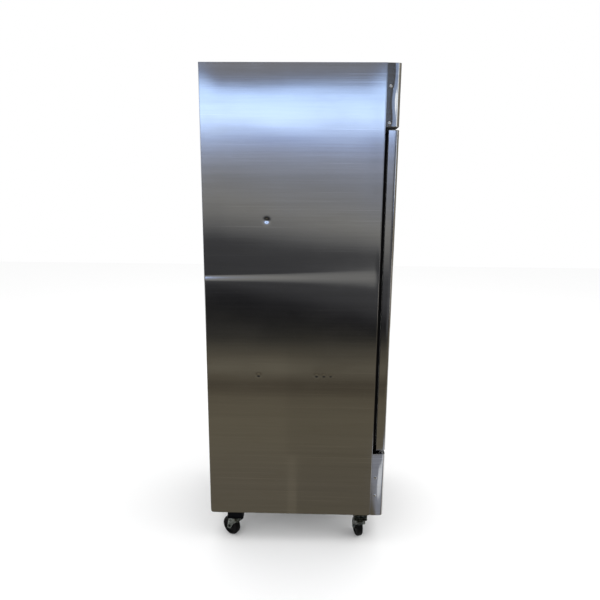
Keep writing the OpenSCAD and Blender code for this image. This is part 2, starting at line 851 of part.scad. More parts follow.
// swivel fork with its axle; the wheel trails along +Y before it is turned
module caster_fork(locking) {
  z = cast_z;
  h = wheel_w / 2;
  difference() {
    union() {
      translate([0, 0, z - 17.3]) cylinder(r = 25, h = 3);
      translate([-h - 4, -20, z - 20.3]) cube([2 * h + 8, trail + 12, 3]);
      translate([-h - 4, -22, z - 32]) cube([2 * h + 8, 2.5, 14]);
      for (s = [-1, 1]) translate([s * (h + 2.5), 0, 0]) rotate([0, 90, 0])
        linear_extrude(height = 3, center = true) {
          polygon([[-z + 17.3, -22], [-z + 17.3, 24], [-wheel_z - 9, trail + 12],
            [-wheel_z + 7, trail + 11], [-wheel_z + 9, trail - 8], [-wheel_z - 18, 2],
            [-z + 32, -22]]);
          if (locking) polygon([[-z + 17.3, 10], [-z + 13, 34], [-z + 15, 43],
            [-z + 26, 43], [-z + 34, 38], [-z + 34, 20]]);
        }
    }
    translate([0, 0, z - 24]) cylinder(r = 5 + run, h = 14);
    if (locking) rod_x([0, 36, pedal_z], 3 + run, 2 * h + 20);
  }
  rod_x([0, trail, wheel_z], 5, 2 * h + 14);
  for (s = [-1, 1]) rod_x([s * (h + 7), trail, wheel_z], 8, 5);
}

// brake pedal on its cross pin, with the shoe over the tyre
module brake_pedal() {
  h = wheel_w / 2;
  rod_x([0, 36, pedal_z], 3, 2 * h + 9);
  difference() {
    union() {
      rod_x([0, 36, pedal_z], 5, 2 * h);
      translate([-h, 36, pedal_z - 2]) rotate([-8, 0, 0]) cube([2 * h, 46, 4]);
      translate([-h, 78, pedal_z - 6]) rotate([14, 0, 0]) cube([2 * h, 12, 4]);
    }
  }
}

// hub and tyre as one moulded wheel, bored for the axle
module caster_wheel() {
  translate([0, trail, wheel_z]) rotate([0, 90, 0]) difference() {
    union() {
      rotate_extrude() difference() {
        union() {
          translate([0, -wheel_w / 2 + 3]) square([wheel_d / 2, wheel_w - 6]);
          translate([0, -wheel_w / 2 + 0.6]) square([wheel_d / 2 - 4, wheel_w - 1.2]);
        }
        translate([16, wheel_w / 2 - 6]) square([14, 8]);
        translate([16, -wheel_w / 2 - 2]) square([14, 8]);
      }
    }
    cylinder(r = 5 + run, h = wheel_w + 10, center = true);
  }
}

module at_caster(sx, y, turn) {
  translate([sx * cast_x, y, 0]) rotate([0, 0, turn]) children();
}

module caster_fork_front_left() {
  color(zinc) at_caster(-1, cast_yf, turn_fl) caster_fork(true);
}

module caster_fork_front_right() {
  color(zinc) at_caster(1, cast_yf, turn_fr) caster_fork(true);
}

module caster_fork_rear_left() {
  color(zinc) at_caster(-1, cast_yr, turn_rl) caster_fork(false);
}

module caster_fork_rear_right() {
  color(zinc) at_caster(1, cast_yr, turn_rr) caster_fork(false);
}

module caster_wheel_front_left() {
  color(black) at_caster(-1, cast_yf, turn_fl) caster_wheel();
}

module caster_wheel_front_right() {
  color(black) at_caster(1, cast_yf, turn_fr) caster_wheel();
}

module caster_wheel_rear_left() {
  color(black) at_caster(-1, cast_yr, turn_rl) caster_wheel();
}

module caster_wheel_rear_right() {
  color(black) at_caster(1, cast_yr, turn_rr) caster_wheel();
}

module caster_brake_left() {
  color(black) at_caster(-1, cast_yf, turn_fl) brake_pedal();
}

module caster_brake_right() {
  color(black) at_caster(1, cast_yf, turn_fr) brake_pedal();
}

side_panel_left();
side_panel_right();
back_panel();
top_panel();
base_frame();
rear_cover();
insulation();
liner_sides();
liner_back();
liner_top();
liner_floor();
breaker_strips();
header_panel();
panel_screws();
controller_housing();
controller_display();
button_set();
button_up();
button_down();
lower_panel();
shelf_pilasters();
shelf_clips();
shelf_top();
shelf_middle();
shelf_bottom();
interior_lamp();
evaporator_cover();
evaporator_coil();
evaporator_fan_motor();
evaporator_fan_blade();
drain_tube();
compressor();
compressor_grommets();
condenser_coil();
condenser_shroud();
condenser_fan_motor();
condenser_fan_blade();
filter_drier();
refrigerant_lines();
condensate_pan();
electrical_box();
power_switch();
hinge_brackets();
hinge_bushes();
door_shell();
door_insulation();
door_liner();
door_gasket();
door_pull();
caster_plates();
caster_fork_front_left();
caster_fork_front_right();
caster_fork_rear_left();
caster_fork_rear_right();
caster_wheel_front_left();
caster_wheel_front_right();
caster_wheel_rear_left();
caster_wheel_rear_right();
caster_brake_left();
caster_brake_right();
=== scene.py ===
import json
import math

import bmesh
import bpy
from mathutils import Matrix, Vector, noise


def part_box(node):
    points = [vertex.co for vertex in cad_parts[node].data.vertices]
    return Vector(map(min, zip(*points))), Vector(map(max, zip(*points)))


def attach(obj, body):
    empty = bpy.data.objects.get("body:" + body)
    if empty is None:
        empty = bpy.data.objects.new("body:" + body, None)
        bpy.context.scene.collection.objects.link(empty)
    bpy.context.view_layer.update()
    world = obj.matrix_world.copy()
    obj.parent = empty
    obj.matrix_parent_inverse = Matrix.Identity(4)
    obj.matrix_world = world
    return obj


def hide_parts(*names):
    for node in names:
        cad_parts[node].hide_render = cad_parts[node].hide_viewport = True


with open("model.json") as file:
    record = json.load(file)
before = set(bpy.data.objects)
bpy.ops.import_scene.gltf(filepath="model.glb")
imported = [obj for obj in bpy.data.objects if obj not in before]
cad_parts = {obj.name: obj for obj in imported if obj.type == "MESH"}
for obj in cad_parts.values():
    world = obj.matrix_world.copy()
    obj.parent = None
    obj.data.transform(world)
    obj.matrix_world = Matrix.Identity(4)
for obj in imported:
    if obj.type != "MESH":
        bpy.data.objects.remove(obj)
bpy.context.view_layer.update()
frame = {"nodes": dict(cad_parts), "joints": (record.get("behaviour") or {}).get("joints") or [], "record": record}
nodes = frame["nodes"]
scene = bpy.context.scene

# main planes of the cabinet, from the CAD nodes
SIDE_LO, SIDE_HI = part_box("side_panel_left")
DOOR_LO, DOOR_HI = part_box("door_shell")
HEAD_LO, HEAD_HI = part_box("header_panel")
FOOT_LO, FOOT_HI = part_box("lower_panel")
HALF_W = -SIDE_LO.x
Y_CAB, Y_BACK = HEAD_HI.y, SIDE_HI.y
Y_FRONT = HEAD_LO.y
Z_LOW, Z_TOP = SIDE_LO.z, SIDE_HI.z
SHEET = 0.0015      # thickness of the steel sheets


# ---------------------------------------------------------------- materials

class Shader:
    """One procedural material: a principled shader with small helpers for its textures."""

    def __init__(self, name, color, rough, metal=0.0):
        self.m = bpy.data.materials.new(name)
        self.m.use_nodes = True
        self.t = self.m.node_tree
        self.bsdf = self.t.nodes["Principled BSDF"]
        self.set("Base Color", (*color, 1.0))
        self.set("Roughness", rough)
        self.set("Metallic", metal)
        self.coord = self.t.nodes.new("ShaderNodeTexCoord").outputs["Object"]
        self.height = None

    def set(self, socket, value):
        self.bsdf.inputs[socket].default_value = value

    def link(self, a, b):
        self.t.links.new(a, b)

    def noise(self, scale, detail=3.0, stretch=(1, 1, 1), rough=0.5):
        mapping = self.t.nodes.new("ShaderNodeMapping")
        mapping.inputs["Scale"].default_value = stretch
        self.link(self.coord, mapping.inputs["Vector"])
        n = self.t.nodes.new("ShaderNodeTexNoise")
        n.inputs["Scale"].default_value = scale
        n.inputs["Detail"].default_value = detail
        n.inputs["Roughness"].default_value = rough
        self.link(mapping.outputs["Vector"], n.inputs["Vector"])
        return n.outputs["Fac"]

    def ramp(self, fac, lo, hi, a, b):
        r = self.t.nodes.new("ShaderNodeMapRange")
        r.inputs["From Min"].default_value = lo
        r.inputs["From Max"].default_value = hi
        r.inputs["To Min"].default_value = a
        r.inputs["To Max"].default_value = b
        self.link(fac, r.inputs["Value"])
        return r.outputs["Result"]

    def math(self, op, a, b):
        n = self.t.nodes.new("ShaderNodeMath")
        n.operation = op
        for i, v in enumerate((a, b)):
            if isinstance(v, (int, float)):
                n.inputs[i].default_value = v
            else:
                self.link(v, n.inputs[i])
        return n.outputs[0]

    def mix(self, fac, a, b):
        n = self.t.nodes.new("ShaderNodeMix")
        n.data_type = "RGBA"
        self.link(fac, n.inputs["Factor"])
        for socket, v in (("A", a), ("B", b)):
            i = [s for s in n.inputs if s.name == socket and s.type == "RGBA"][0]
            if isinstance(v, tuple):
                i.default_value = (*v, 1.0)
            else:
                self.link(v, i)
        return [s for s in n.outputs if s.type == "RGBA"][0]

    def base(self, value):
        self.link(value, self.bsdf.inputs["Base Color"])

    def roughness(self, value):
        self.link(value, self.bsdf.inputs["Roughness"])

    def bump(self, height, strength, distance):
        b = self.t.nodes.new("ShaderNodeBump")
        b.inputs["Strength"].default_value = strength
        b.inputs["Distance"].default_value = distance
        self.link(height, b.inputs["Height"])
        if self.height is not None:
            self.link(self.height, b.inputs["Normal"])
        self.height = b.outputs["Normal"]
        self.link(self.height, self.bsdf.inputs["Normal"])


def stainless(name, color, rough, grain=(2.2, 2.2, 700), smudge=0.5, bumps=0.035):
    """Brushed stainless sheet: fine straight grain, wiped smudges, faint stains."""
    s = Shader(name, color, rough, 1.0)
    streak = s.noise(1.0, 4.0, grain, 0.6)
    fine = s.noise(1.0, 2.0, tuple(g * 2.6 for g in grain), 0.7)
    cloud = s.noise(3.1, 4.0)
    band = s.noise(1.0, 5.0, (0.9, 0.9, 40), 0.66)
    wipe = s.noise(9.0, 3.0, (1, 0.45, 1.6))
    grainy = s.math("ADD", s.math("MULTIPLY", streak, 0.6), s.math("MULTIPLY", fine, 0.4))
    soiled = s.ramp(wipe, 0.56, 0.78, 0.0, smudge)
    dark = tuple(c * 0.86 for c in color)
    tone = s.mix(s.ramp(grainy, 0.3, 0.7, 0.0, 1.0), dark, color)
    stain = tuple(c * k for c, k in zip(color, (0.80, 0.77, 0.70)))
    line = s.noise(1.0, 1.0, (1.3, 1.3, 300))
    tone = s.mix(s.ramp(line, 0.70, 0.76, 0.0, 0.5), tone, tuple(min(1.0, c * 1.35) for c in color))
    tone = s.mix(s.ramp(band, 0.42, 0.72, 0.0, 0.40), tone, tuple(c * 0.74 for c in color))
    s.base(s.mix(s.math("MULTIPLY", soiled, 0.6), tone, stain))
    r = s.ramp(grainy, 0.3, 0.7, rough - 0.03, rough + 0.03)
    r = s.math("ADD", r, s.math("MULTIPLY", soiled, 0.06))
    r = s.math("ADD", r, s.ramp(cloud, 0.35, 0.7, -0.02, 0.04))
    s.roughness(r)
    s.bump(grainy, bumps, 0.0004)
    s.bump(band, 0.03, 0.0012)
    return s


def plain(name, color, rough, metal=0.0, speck=0.5, bumps=0.1, dust=0.25):
    """Paint, plate or plastic with uneven gloss, faint dust and a fine skin."""
    s = Shader(name, color, rough, metal)
    cloud = s.noise(14.0, 4.0)
    grit = s.noise(420.0, 2.0)
    worn = s.ramp(cloud, 0.45, 0.75, 0.0, dust)
    dusty = tuple(min(1.0, c * 0.8 + 0.07) for c in color)
    s.base(s.mix(worn, color, dusty))
    r = s.ramp(grit, 0.3, 0.7, rough - 0.05 * speck, rough + 0.05 * speck)
    s.roughness(s.math("ADD", r, s.ramp(cloud, 0.4, 0.7, 0.0, 0.12)))
    s.bump(grit, bumps, 0.0003)
    return s


M = {}
DULL = ("rubber", "wheel_tread", "black_steel", "dark_plastic")


def finish(slot, shader):
    M[slot] = shader.m
    if slot in DULL:
        shader.set("Specular IOR Level", 0.12)
    for sub in frame["record"]["subparts"]:
        if sub["material_slot"] == slot:
            o = nodes[sub["node"]]
            o.data.materials.clear()
            o.data.materials.append(shader.m)


finish("stainless", stainless("stainless_grain", (0.54, 0.54, 0.54), 0.105))
finish("galvanised", plain("galvanised_sheet", (0.42, 0.43, 0.44), 0.42, 1.0, 0.8, 0.08))
finish("black_steel", plain("black_steel", (0.0015, 0.002, 0.004), 0.42, 0.0, 0.6, 0.1, 0.0))
zinc = plain("zinc_plate", (0.10, 0.11, 0.10), 0.28, 1.0, 0.7, 0.15)
zinc_patches = zinc.ramp(zinc.noise(85.0, 3.0), 0.44, 0.62, 0.0, 1.0)
zinc.base(zinc.mix(zinc_patches, (0.065, 0.072, 0.062), (0.26, 0.28, 0.26)))
finish("zinc_plate", zinc)
finish("bright_steel", plain("bright_steel", (0.72, 0.72, 0.71), 0.22, 1.0, 0.3))
finish("insulation_foam", plain("insulation_foam", (0.62, 0.52, 0.26), 0.9, 0.0, 0.5, 0.4))
finish("white_liner", plain("white_liner", (0.72, 0.72, 0.70), 0.33))
finish("dark_plastic", plain("dark_plastic", (0.02, 0.02, 0.021), 0.45))
finish("black_plastic", plain("black_plastic", (0.014, 0.014, 0.014), 0.38))
finish("display", plain("display_window", (0.02, 0.003, 0.003), 0.12, 0.0, 0.1, 0.01, 0.05))
finish("button_grey", plain("button_grey", (0.25, 0.26, 0.27), 0.45))
finish("shelf_coating", plain("shelf_coating", (0.62, 0.63, 0.62), 0.35))
finish("lamp_lens", plain("lamp_lens", (0.80, 0.80, 0.76), 0.3))
finish("coil_fins", plain("coil_fins", (0.62, 0.63, 0.64), 0.35, 1.0))
finish("condenser_black", plain("condenser_black", (0.02, 0.02, 0.02), 0.5))
finish("motor_shell", plain("motor_shell", (0.02, 0.02, 0.022), 0.42))
finish("copper", plain("copper", (0.62, 0.30, 0.17), 0.3, 1.0))
finish("rubber", plain("rubber", (0.004, 0.004, 0.004), 0.62, 0.0, 0.5, 0.1, 0.05))
finish("white_plastic", plain("white_plastic", (0.66, 0.66, 0.63), 0.42))
finish("red_rocker", plain("red_rocker", (0.30, 0.01, 0.01), 0.3))
finish("wheel_tread", plain("wheel_tread", (0.0015, 0.0015, 0.0015), 0.55, 0.0, 0.5, 0.12, 0.0))


# ---------------------------------------------------------------- meshes

def new_object(name, bm, material, smooth=True):
    me = bpy.data.meshes.new(name)
    bm.normal_update()
    for e in bm.edges:
        if len(e.link_faces) == 2 and e.calc_face_angle(0.0) > 0.6:
            e.smooth = False
    bm.to_mesh(me)
    bm.free()
    for p in me.polygons:
        p.use_smooth = smooth
    o = bpy.data.objects.new(name, me)
    scene.collection.objects.link(o)
    me.materials.append(material)
    return o


def bump_at(y, z, cy, cz, ry, rz):
    """Smooth hollow of radii ry and rz round a point."""
    d = ((y - cy) / ry) ** 2 + ((z - cz) / rz) ** 2
    return math.exp(-2.2 * d) if d < 6 else 0.0


# hollows on the left side sheet: middle y, z, radii and depth, in metres
DENTS = [
    (0.132, 1.488, 0.0165, 0.0150, 0.0027),
    (0.170, 0.821, 0.012, 0.010, 0.0008),
    (-0.082, 0.823, 0.012, 0.010, 0.0007),
    (-0.114, 0.823, 0.012, 0.010, 0.0007),
    (-0.144, 0.823, 0.012, 0.010, 0.0007),
    (-0.150, 0.451, 0.014, 0.012, 0.0007),
    (-0.094, 0.401, 0.014, 0.012, 0.0007),
]
# long crease: from the rear edge forwards
CREASE = [(0.396, 1.258), (0.038, 1.273), (-0.329, 1.291)]
CREASE_FADE = 0.015     # how soon the crease dies out at the front edge


def crease_z(y):
    (y0, z0), (y1, z1), (y2, z2) = CREASE
    if y > y1:
        return z0 + (z1 - z0) * (y0 - y) / (y0 - y1)
    return z1 + (z2 - z1) * (y1 - y) / (y1 - y2)


def crease_shape(y):
    """Depth, reach above and reach below: towards the rear edge deeper, longer above, sharper below."""
    k = max(0.0, min(1.0, (y - CREASE[2][0]) / (CREASE[0][0] - CREASE[2][0])))
    fade = min(1.0, (y - Y_CAB) / CREASE_FADE)
    return fade * (0.0030 + 0.0007 * k ** 3), 0.085 + 0.045 * k, 0.058 - 0.043 * k ** 0.6


def left_hollow(y, z):
    """How far the left sheet stands inside its flat plane."""
    along = max(0.0, min(1.0, min(y - Y_CAB, Y_BACK - y) / 0.10))
    up = max(0.0, min(1.0, (Z_TOP - z) / 0.20))
    free = along * along * (3 - 2 * along) * (1 - (1 - up) ** 2)
    n = noise.noise(Vector((y * 2.2, z * 1.5, 3.1)))
    n += 0.5 * noise.noise(Vector((y * 5.1, z * 3.3, 7.7)))
    high = max(0.0, min(1.0, (z - 1.0) / 0.6))
    x = 0.0022 * (1 - free) * high + free * (0.0003 + 0.0006 * n)
    for cy, cz, ry, rz, depth in DENTS:
        x += depth * bump_at(y, z, cy, cz, ry, rz)
    dz = z - crease_z(y)
    depth, above, below = crease_shape(y)
    x += depth * math.exp(-(dz / (above if dz > 0 else below)) ** 2)
    return max(0.0, x)


def steps(lo, hi, n, extra=()):
    """Even stations with finer ones round the places in extra."""
    out = [lo + (hi - lo) * i / n for i in range(n + 1)]
    for c, half, m in extra:
        out += [c - half + 2 * half * i / m for i in range(m + 1) if lo < c - half + 2 * half * i / m < hi]
    out = sorted(out)
    keep = [out[0]]
    for v in out[1:]:
        if v - keep[-1] > 1e-5:
            keep.append(v)
    keep[-1] = hi
    return keep


def sheet(bm, outer, inner, hole=None):
    """Two skins of points and the rims between them. hole(i, j) says which cells are cut out."""
    n, m = len(outer) - 1, len(outer[0]) - 1
    a = [[bm.verts.new(p) for p in row] for row in outer]
    b = [[bm.verts.new(p) for p in row] for row in inner]

    def solid(i, j):
        return 0 <= i < n and 0 <= j < m and not (hole and hole(i, j))

    for i in range(n):
        for j in range(m):
            if not solid(i, j):
                continue
            c = [(i, j), (i, j + 1), (i + 1, j + 1), (i + 1, j)]
            bm.faces.new([a[u][v] for u, v in c])
            bm.faces.new([b[u][v] for u, v in c[::-1]])
            near = [(i - 1, j), (i, j + 1), (i + 1, j), (i, j - 1)]
            for k in range(4):
                if not solid(*near[k]):
                    (u0, v0), (u1, v1) = c[k], c[(k + 1) % 4]
                    bm.faces.new([a[u1][v1], a[u0][v0], b[u0][v0], b[u1][v1]])


def box_piece(bm, lo, hi):
    vs = [bm.verts.new((x, y, z)) for x in (lo[0], hi[0]) for y in (lo[1], hi[1]) for z in (lo[2], hi[2])]
    for q in ((0, 1, 3, 2), (4, 6, 7, 5), (0, 4, 5, 1), (2, 3, 7, 6), (0, 2, 6, 4), (1, 5, 7, 3)):
        bm.faces.new([vs[i] for i in q])


def finish_piece(name, bm, node, slot, body):
    bmesh.ops.remove_doubles(bm, verts=bm.verts, dist=1e-6)
    loose = [v for v in bm.verts if not v.link_faces]
    bmesh.ops.delete(bm, geom=loose, context="VERTS")
    bmesh.ops.recalc_face_normals(bm, faces=bm.faces)
    o = new_object(name, bm, M[slot])
    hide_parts(node)
    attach(o, body)
    return o


FINE = 2
CORNER = 0.010      # radius of the side sheets' lower corners
FOLD = 0.003        # radius of their front and rear folds
FOLD_STEPS = (0.0002, 0.0008, 0.0016, 0.0024, 0.003, 0.0035)
EDGE = [Y_CAB + d for d in FOLD_STEPS] + [Y_BACK - d for d in FOLD_STEPS]
CORNER_ROWS = [Z_LOW + 0.001, Z_LOW + 0.003, Z_LOW + 0.006, Z_LOW + CORNER]


def side_piece(name, sign, hollow, ys, zs, node):
    """Side sheet with rounded lower corners, its front and rear returns and the screw tabs."""
    bm = bmesh.new()

    def skin(offset):
        rows = []
        for z in zs:
            d = z - Z_LOW
            cut = CORNER - math.sqrt(max(0.0, CORNER ** 2 - (CORNER - d) ** 2)) if d < CORNER else 0.0
            row = []
            for y in ys:
                yy = Y_CAB + cut + (y - Y_CAB) / (Y_BACK - Y_CAB) * (Y_BACK - Y_CAB - 2 * cut)
                d = min(FOLD, y - Y_CAB, Y_BACK - y)
                fold = FOLD - math.sqrt(max(0.0, FOLD ** 2 - (FOLD - d) ** 2))
                row.append((sign * (HALF_W - hollow(yy, z) - fold - offset), yy, z))
            rows.append(row)
        return rows

    sheet(bm, skin(0.0), skin(SHEET))
    for lo, hi in (((0.0015, Y_CAB, Z_LOW + 0.01), (0.03, Y_CAB + SHEET, Z_TOP)),
                   ((0.0015, Y_BACK - 0.003, Z_LOW + 0.012), (0.02, Y_BACK - SHEET, Z_TOP - SHEET))):
        box_piece(bm, (sign * (HALF_W - lo[0]), lo[1], lo[2]), (sign * (HALF_W - hi[0]), hi[1], hi[2]))
    for z in SCREWS:
        box_piece(bm, (sign * (HALF_W - SHEET), Y_CAB - 0.026, z - 0.012),
                  (sign * (HALF_W - 0.004), Y_CAB, z + 0.012))
    return finish_piece(name, bm, node, "stainless", "cabinet")


SCREWS = (2.008, 1.871, 0.342, 0.254)
ys = sorted(set(steps(Y_CAB, Y_BACK, 60 * FINE, [(c[0], 0.03, 10 * FINE) for c in DENTS]) + EDGE))
zs = steps(Z_LOW, Z_TOP, 150 * FINE, [(c[1], 0.03, 10 * FINE) for c in DENTS] + [(1.27, 0.09, 30 * FINE)])
zs = sorted(set(zs + CORNER_ROWS))
side_piece("left_side_sheet", -1, left_hollow, ys, zs, "side_panel_left")


def right_hollow(y, z):
    edge = min(y - Y_CAB, Y_BACK - y, z - Z_LOW, Z_TOP - z)
    free = min(1.0, max(0.0, edge / 0.12))
    n = noise.noise(Vector((y * 2.0, z * 1.3, 21.4))) + 0.4 * noise.noise(Vector((y * 5.3, z * 3.1, 13.0)))
    return free * max(0.0, 0.0006 + 0.0006 * n)


ys = sorted(set(steps(Y_CAB, Y_BACK, 40 * FINE) + EDGE))
zs = sorted(set(steps(Z_LOW, Z_TOP, 90 * FINE) + CORNER_ROWS))
side_piece("right_side_sheet", 1, right_hollow, ys, zs, "side_panel_right")

# the foam stands clear of the dented left sheet
FOAM_SKIN, FOAM_MOVE = 0.004, 0.010
foam = nodes["insulation"].data.copy()
for v in foam.vertices:
    if v.co.x < -HALF_W + FOAM_SKIN:
        v.co.x += FOAM_MOVE
foam_o = bpy.data.objects.new("wall_foam", foam)
scene.collection.objects.link(foam_o)
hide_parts("insulation")
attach(foam_o, "cabinet")


FLANK_STEPS, CORNER_STEPS = 14, 10
BEND_ROWS = 5           # rows round the bend at the top and the bottom of a front pan
FACE_MARGIN = 0.022     # width at each side where a front face has no stations of its own
PLATE_RIM = 0.003       # first strip of a pan's end plate, next to the bend


def front_profile(y_end, r, tilt, bow, x_stations, z, lip):
    """Plan line of a folded front pan at one height, from the left rear edge round to the right one."""
    half = []
    depth = y_end - (Y_FRONT + r)
    start, grow = bow(z)
    for k in range(FLANK_STEPS + 1):
        t = depth * k / FLANK_STEPS
        over = max(0.0, t - start)
        x = tilt * t + grow * over * over
        slope = tilt + 2 * grow * over
        half.append((-HALF_W + x, y_end - t))
    a0 = math.atan(slope)
    cx = half[-1][0] + r * math.cos(a0)
    cy = half[-1][1] + r * math.sin(a0)
    # the corner is flattened a little so that it ends on the front plane
    squeeze = (cy - Y_FRONT) / r
    for k in range(1, CORNER_STEPS + 1):
        a = a0 + (math.pi / 2 - a0) * k / CORNER_STEPS
        half.append((cx - r * math.cos(a), cy - r * squeeze * math.sin(a)))
    back = []
    if lip:
        back = [(-HALF_W + lip, y_end), (-HALF_W + lip * 0.5, y_end)]
    left = back + half
    mid = [(v, Y_FRONT) for v in x_stations if abs(v) < HALF_W - FACE_MARGIN]
    return left + mid + [(-px, py) for px, py in reversed(left)]


def offset_line(line, d):
    """Line moved inwards by d along its own normals."""
    out = []
    n = len(line)
    for i in range(n):
        (ax, ay), (bx, by) = line[max(0, i - 1)], line[min(n - 1, i + 1)]
        tx, ty = bx - ax, by - ay
        length = math.hypot(tx, ty) or 1.0
        nx, ny = ty / length, -tx / length
        out.append((line[i][0] - nx * d, line[i][1] - ny * d))
    return out


def end_plate(bm, row, y_end, za, zb):
    """Plate that closes a front pan at the top or the bottom, from its outline back to y_end."""
    edge = [(x, y) for x, y, _ in row if y < y_end - 1e-5]
    keep = [edge[0]]
    for x, y in edge[1:]:
        if x - keep[-1][0] > 1e-5:
            keep.append((x, y))
    skins = [[[bm.verts.new((x, v, z)) for v in (y, y + min(PLATE_RIM, (y_end - y) / 2), y_end)]
              for x, y in keep] for z in (za, zb)]
    for k in range(len(keep) - 1):
        for a in skins:
            for v in (0, 1):
                bm.faces.new([a[k][v], a[k + 1][v], a[k + 1][v + 1], a[k][v + 1]])
        for v in (0, 2):
            bm.faces.new([skins[0][k][v], skins[0][k + 1][v], skins[1][k + 1][v], skins[1][k][v]])
    for k in (0, -1):
        for v in (0, 1):
            bm.faces.new([skins[0][k][v], skins[0][k][v + 1], skins[1][k][v + 1], skins[1][k][v]])


def front_pan(z0, z1, y_end, r, tilt, bow, cuts, face, lip=0.0, bend=0.002):
    """Folded front pan: cuts are openings in its face as (x0, x1, z0, z1), face(x, z) its shallow waves."""
    xs = steps(-HALF_W, HALF_W, 40)
    zrows = steps(z0 + bend, z1 - bend, max(12, int((z1 - z0) / 0.02)) * FINE)
    for x0, x1, c0, c1 in cuts:
        xs += [x0, x1]
        zrows += [c0, c1]
    zrows += [z0 + bend + 0.0006, z1 - bend - 0.0006]
    xs = [v for i, v in enumerate(sorted(xs)) if i == 0 or v - sorted(xs)[i - 1] > 1e-6]
    zrows = sorted(set(zrows))
    rows = []
    for k in range(BEND_ROWS):
        a = math.pi / 2 * (1 - k / (BEND_ROWS - 1))
        rows.append((z0 + bend * (1 - math.sin(a)), bend * (1 - math.cos(a))))
    rows = sorted(rows)
    rows += [(z, 0.0) for z in zrows[1:-1]]
    top = [(z0 + z1 - z, d) for z, d in rows[:BEND_ROWS]]
    rows += sorted(top)
    outer, inner = [], []
    for z, d in rows:
        line = front_profile(y_end, r, tilt, bow, xs, z, lip)
        line = [(x, y + (face(x, z) if abs(y - Y_FRONT) < 1e-5 else 0.0)) for x, y in line]
        outer.append([(x, y, z) for x, y in offset_line(line, d)])
        inner.append([(x, y, z) for x, y in offset_line(line, d + SHEET)])

    def hole(i, j):
        x = (outer[i][j][0] + outer[i][j + 1][0]) / 2
        y = (outer[i][j][1] + outer[i][j + 1][1]) / 2
        z = (outer[i][j][2] + outer[i + 1][j][2]) / 2
        return y < Y_FRONT + 0.004 and any(x0 < x < x1 and c0 < z < c1 for x0, x1, c0, c1 in cuts)

    bm = bmesh.new()
    sheet(bm, outer, inner, hole)
    end_plate(bm, outer[0], y_end, z0, z0 + SHEET)
    end_plate(bm, outer[-1], y_end, z1, z1 - SHEET)
    return bm


def ripple(seed, depth, margin, z0, z1):
    """Shallow waves over a front face, still at its edges."""
    def f(x, z):
        free = min(1.0, max(0.0, min(HALF_W - 0.02 - abs(x), z - z0, z1 - z) / margin))
        n = noise.noise(Vector((x * 3.0, z * 2.2, seed)))
        n += 0.4 * noise.noise(Vector((x * 8.0, z * 5.0, seed + 4)))
        return free * max(0.0, depth * (0.6 + n))
    return f


# header
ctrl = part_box("controller_housing")
cx, cz = (ctrl[0].x + ctrl[1].x) / 2, (ctrl[0].z + ctrl[1].z) / 2
WINDOW_X, WINDOW_Z = 0.036, 0.015       # half sizes of the controller's opening


def head_bow(z):
    """Where the header's flank leaves its slope, measured from the rear, and how fast it curves in."""
    k = (z - HEAD_LO.z) / (HEAD_HI.z - HEAD_LO.z)
    start = 0.017 + 0.008 * k * k + 0.0035 * math.sin(9.0 * k + 0.8)
    return start, 5.6


bm = front_pan(HEAD_LO.z, HEAD_HI.z, Y_CAB, r=0.015, tilt=0.052, bow=head_bow,
               cuts=[(cx - WINDOW_X, cx + WINDOW_X, cz - WINDOW_Z, cz + WINDOW_Z)],
               face=ripple(2.0, 0.0005, 0.06, HEAD_LO.z, HEAD_HI.z))
finish_piece("header_sheet", bm, "header_panel", "stainless", "cabinet")

# lower panel with pressed louvers
LOUVERS = 9
LOUVER_X = 0.26     # half length of a louver
louver_step = (FOOT_HI.z - FOOT_LO.z - 0.090) / (LOUVERS - 1)
slots = [(-LOUVER_X, LOUVER_X, FOOT_LO.z + 0.040 + i * louver_step, FOOT_LO.z + 0.052 + i * louver_step)
         for i in range(LOUVERS)]


def foot_bow(z):
    k = (z - FOOT_LO.z) / (FOOT_HI.z - FOOT_LO.z)
    start = 0.022 + 0.004 * math.sin(7.0 * k + 2.0)
    return start, 3.0 + 2.5 * k


bm = front_pan(FOOT_LO.z, FOOT_HI.z, Y_CAB, r=0.015, tilt=0.035, bow=foot_bow, cuts=slots,
               face=ripple(9.0, 0.0003, 0.05, FOOT_LO.z, FOOT_HI.z))
for x0, x1, c0, c1 in slots:
    curve = [(Y_FRONT + 0.0008 + 0.0135 * math.sin(a), c1 - 0.0002 - 0.0125 * (1 - math.cos(a)))
             for a in [math.pi / 2 * k / 6 for k in range(7)]]
    outer = [[(x, y, z) for y, z in curve] for x in (x0 + 0.0003, x1 - 0.0003)]
    inner = [[(x, y + 0.0006, z + 0.0010) for y, z in curve] for x in (x0 + 0.0003, x1 - 0.0003)]
    sheet(bm, outer, inner)
finish_piece("lower_sheet", bm, "lower_panel", "stainless", "cabinet")

# door shell with its handle opening
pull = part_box("door_pull")
px, pz = (pull[0].x + pull[1].x) / 2, (pull[0].z + pull[1].z) / 2
POCKET_X, POCKET_Z = 0.030, 0.105       # half sizes of the opening for the pull


def door_bow(z):
    return 0.020, 2.0 + 1.2 * math.sin(2.2 * z)


bm = front_pan(DOOR_LO.z, DOOR_HI.z, DOOR_HI.y, r=0.012, tilt=0.0, bow=door_bow,
               cuts=[(px - POCKET_X, px + POCKET_X, pz - POCKET_Z, pz + POCKET_Z)],
               face=ripple(5.0, 0.0006, 0.10, DOOR_LO.z, DOOR_HI.z), lip=0.016)
for lo, hi in (((-HALF_W + 0.002, DOOR_LO.z + 0.002), (HALF_W - 0.002, DOOR_LO.z + 0.016)),
               ((-HALF_W + 0.002, DOOR_HI.z - 0.016), (HALF_W - 0.002, DOOR_HI.z - 0.002))):
    box_piece(bm, (lo[0], DOOR_HI.y - SHEET, lo[1]), (hi[0], DOOR_HI.y, hi[1]))
finish_piece("door_sheet", bm, "door_shell", "stainless", "door")


# ---------------------------------------------------------------- screws and casters

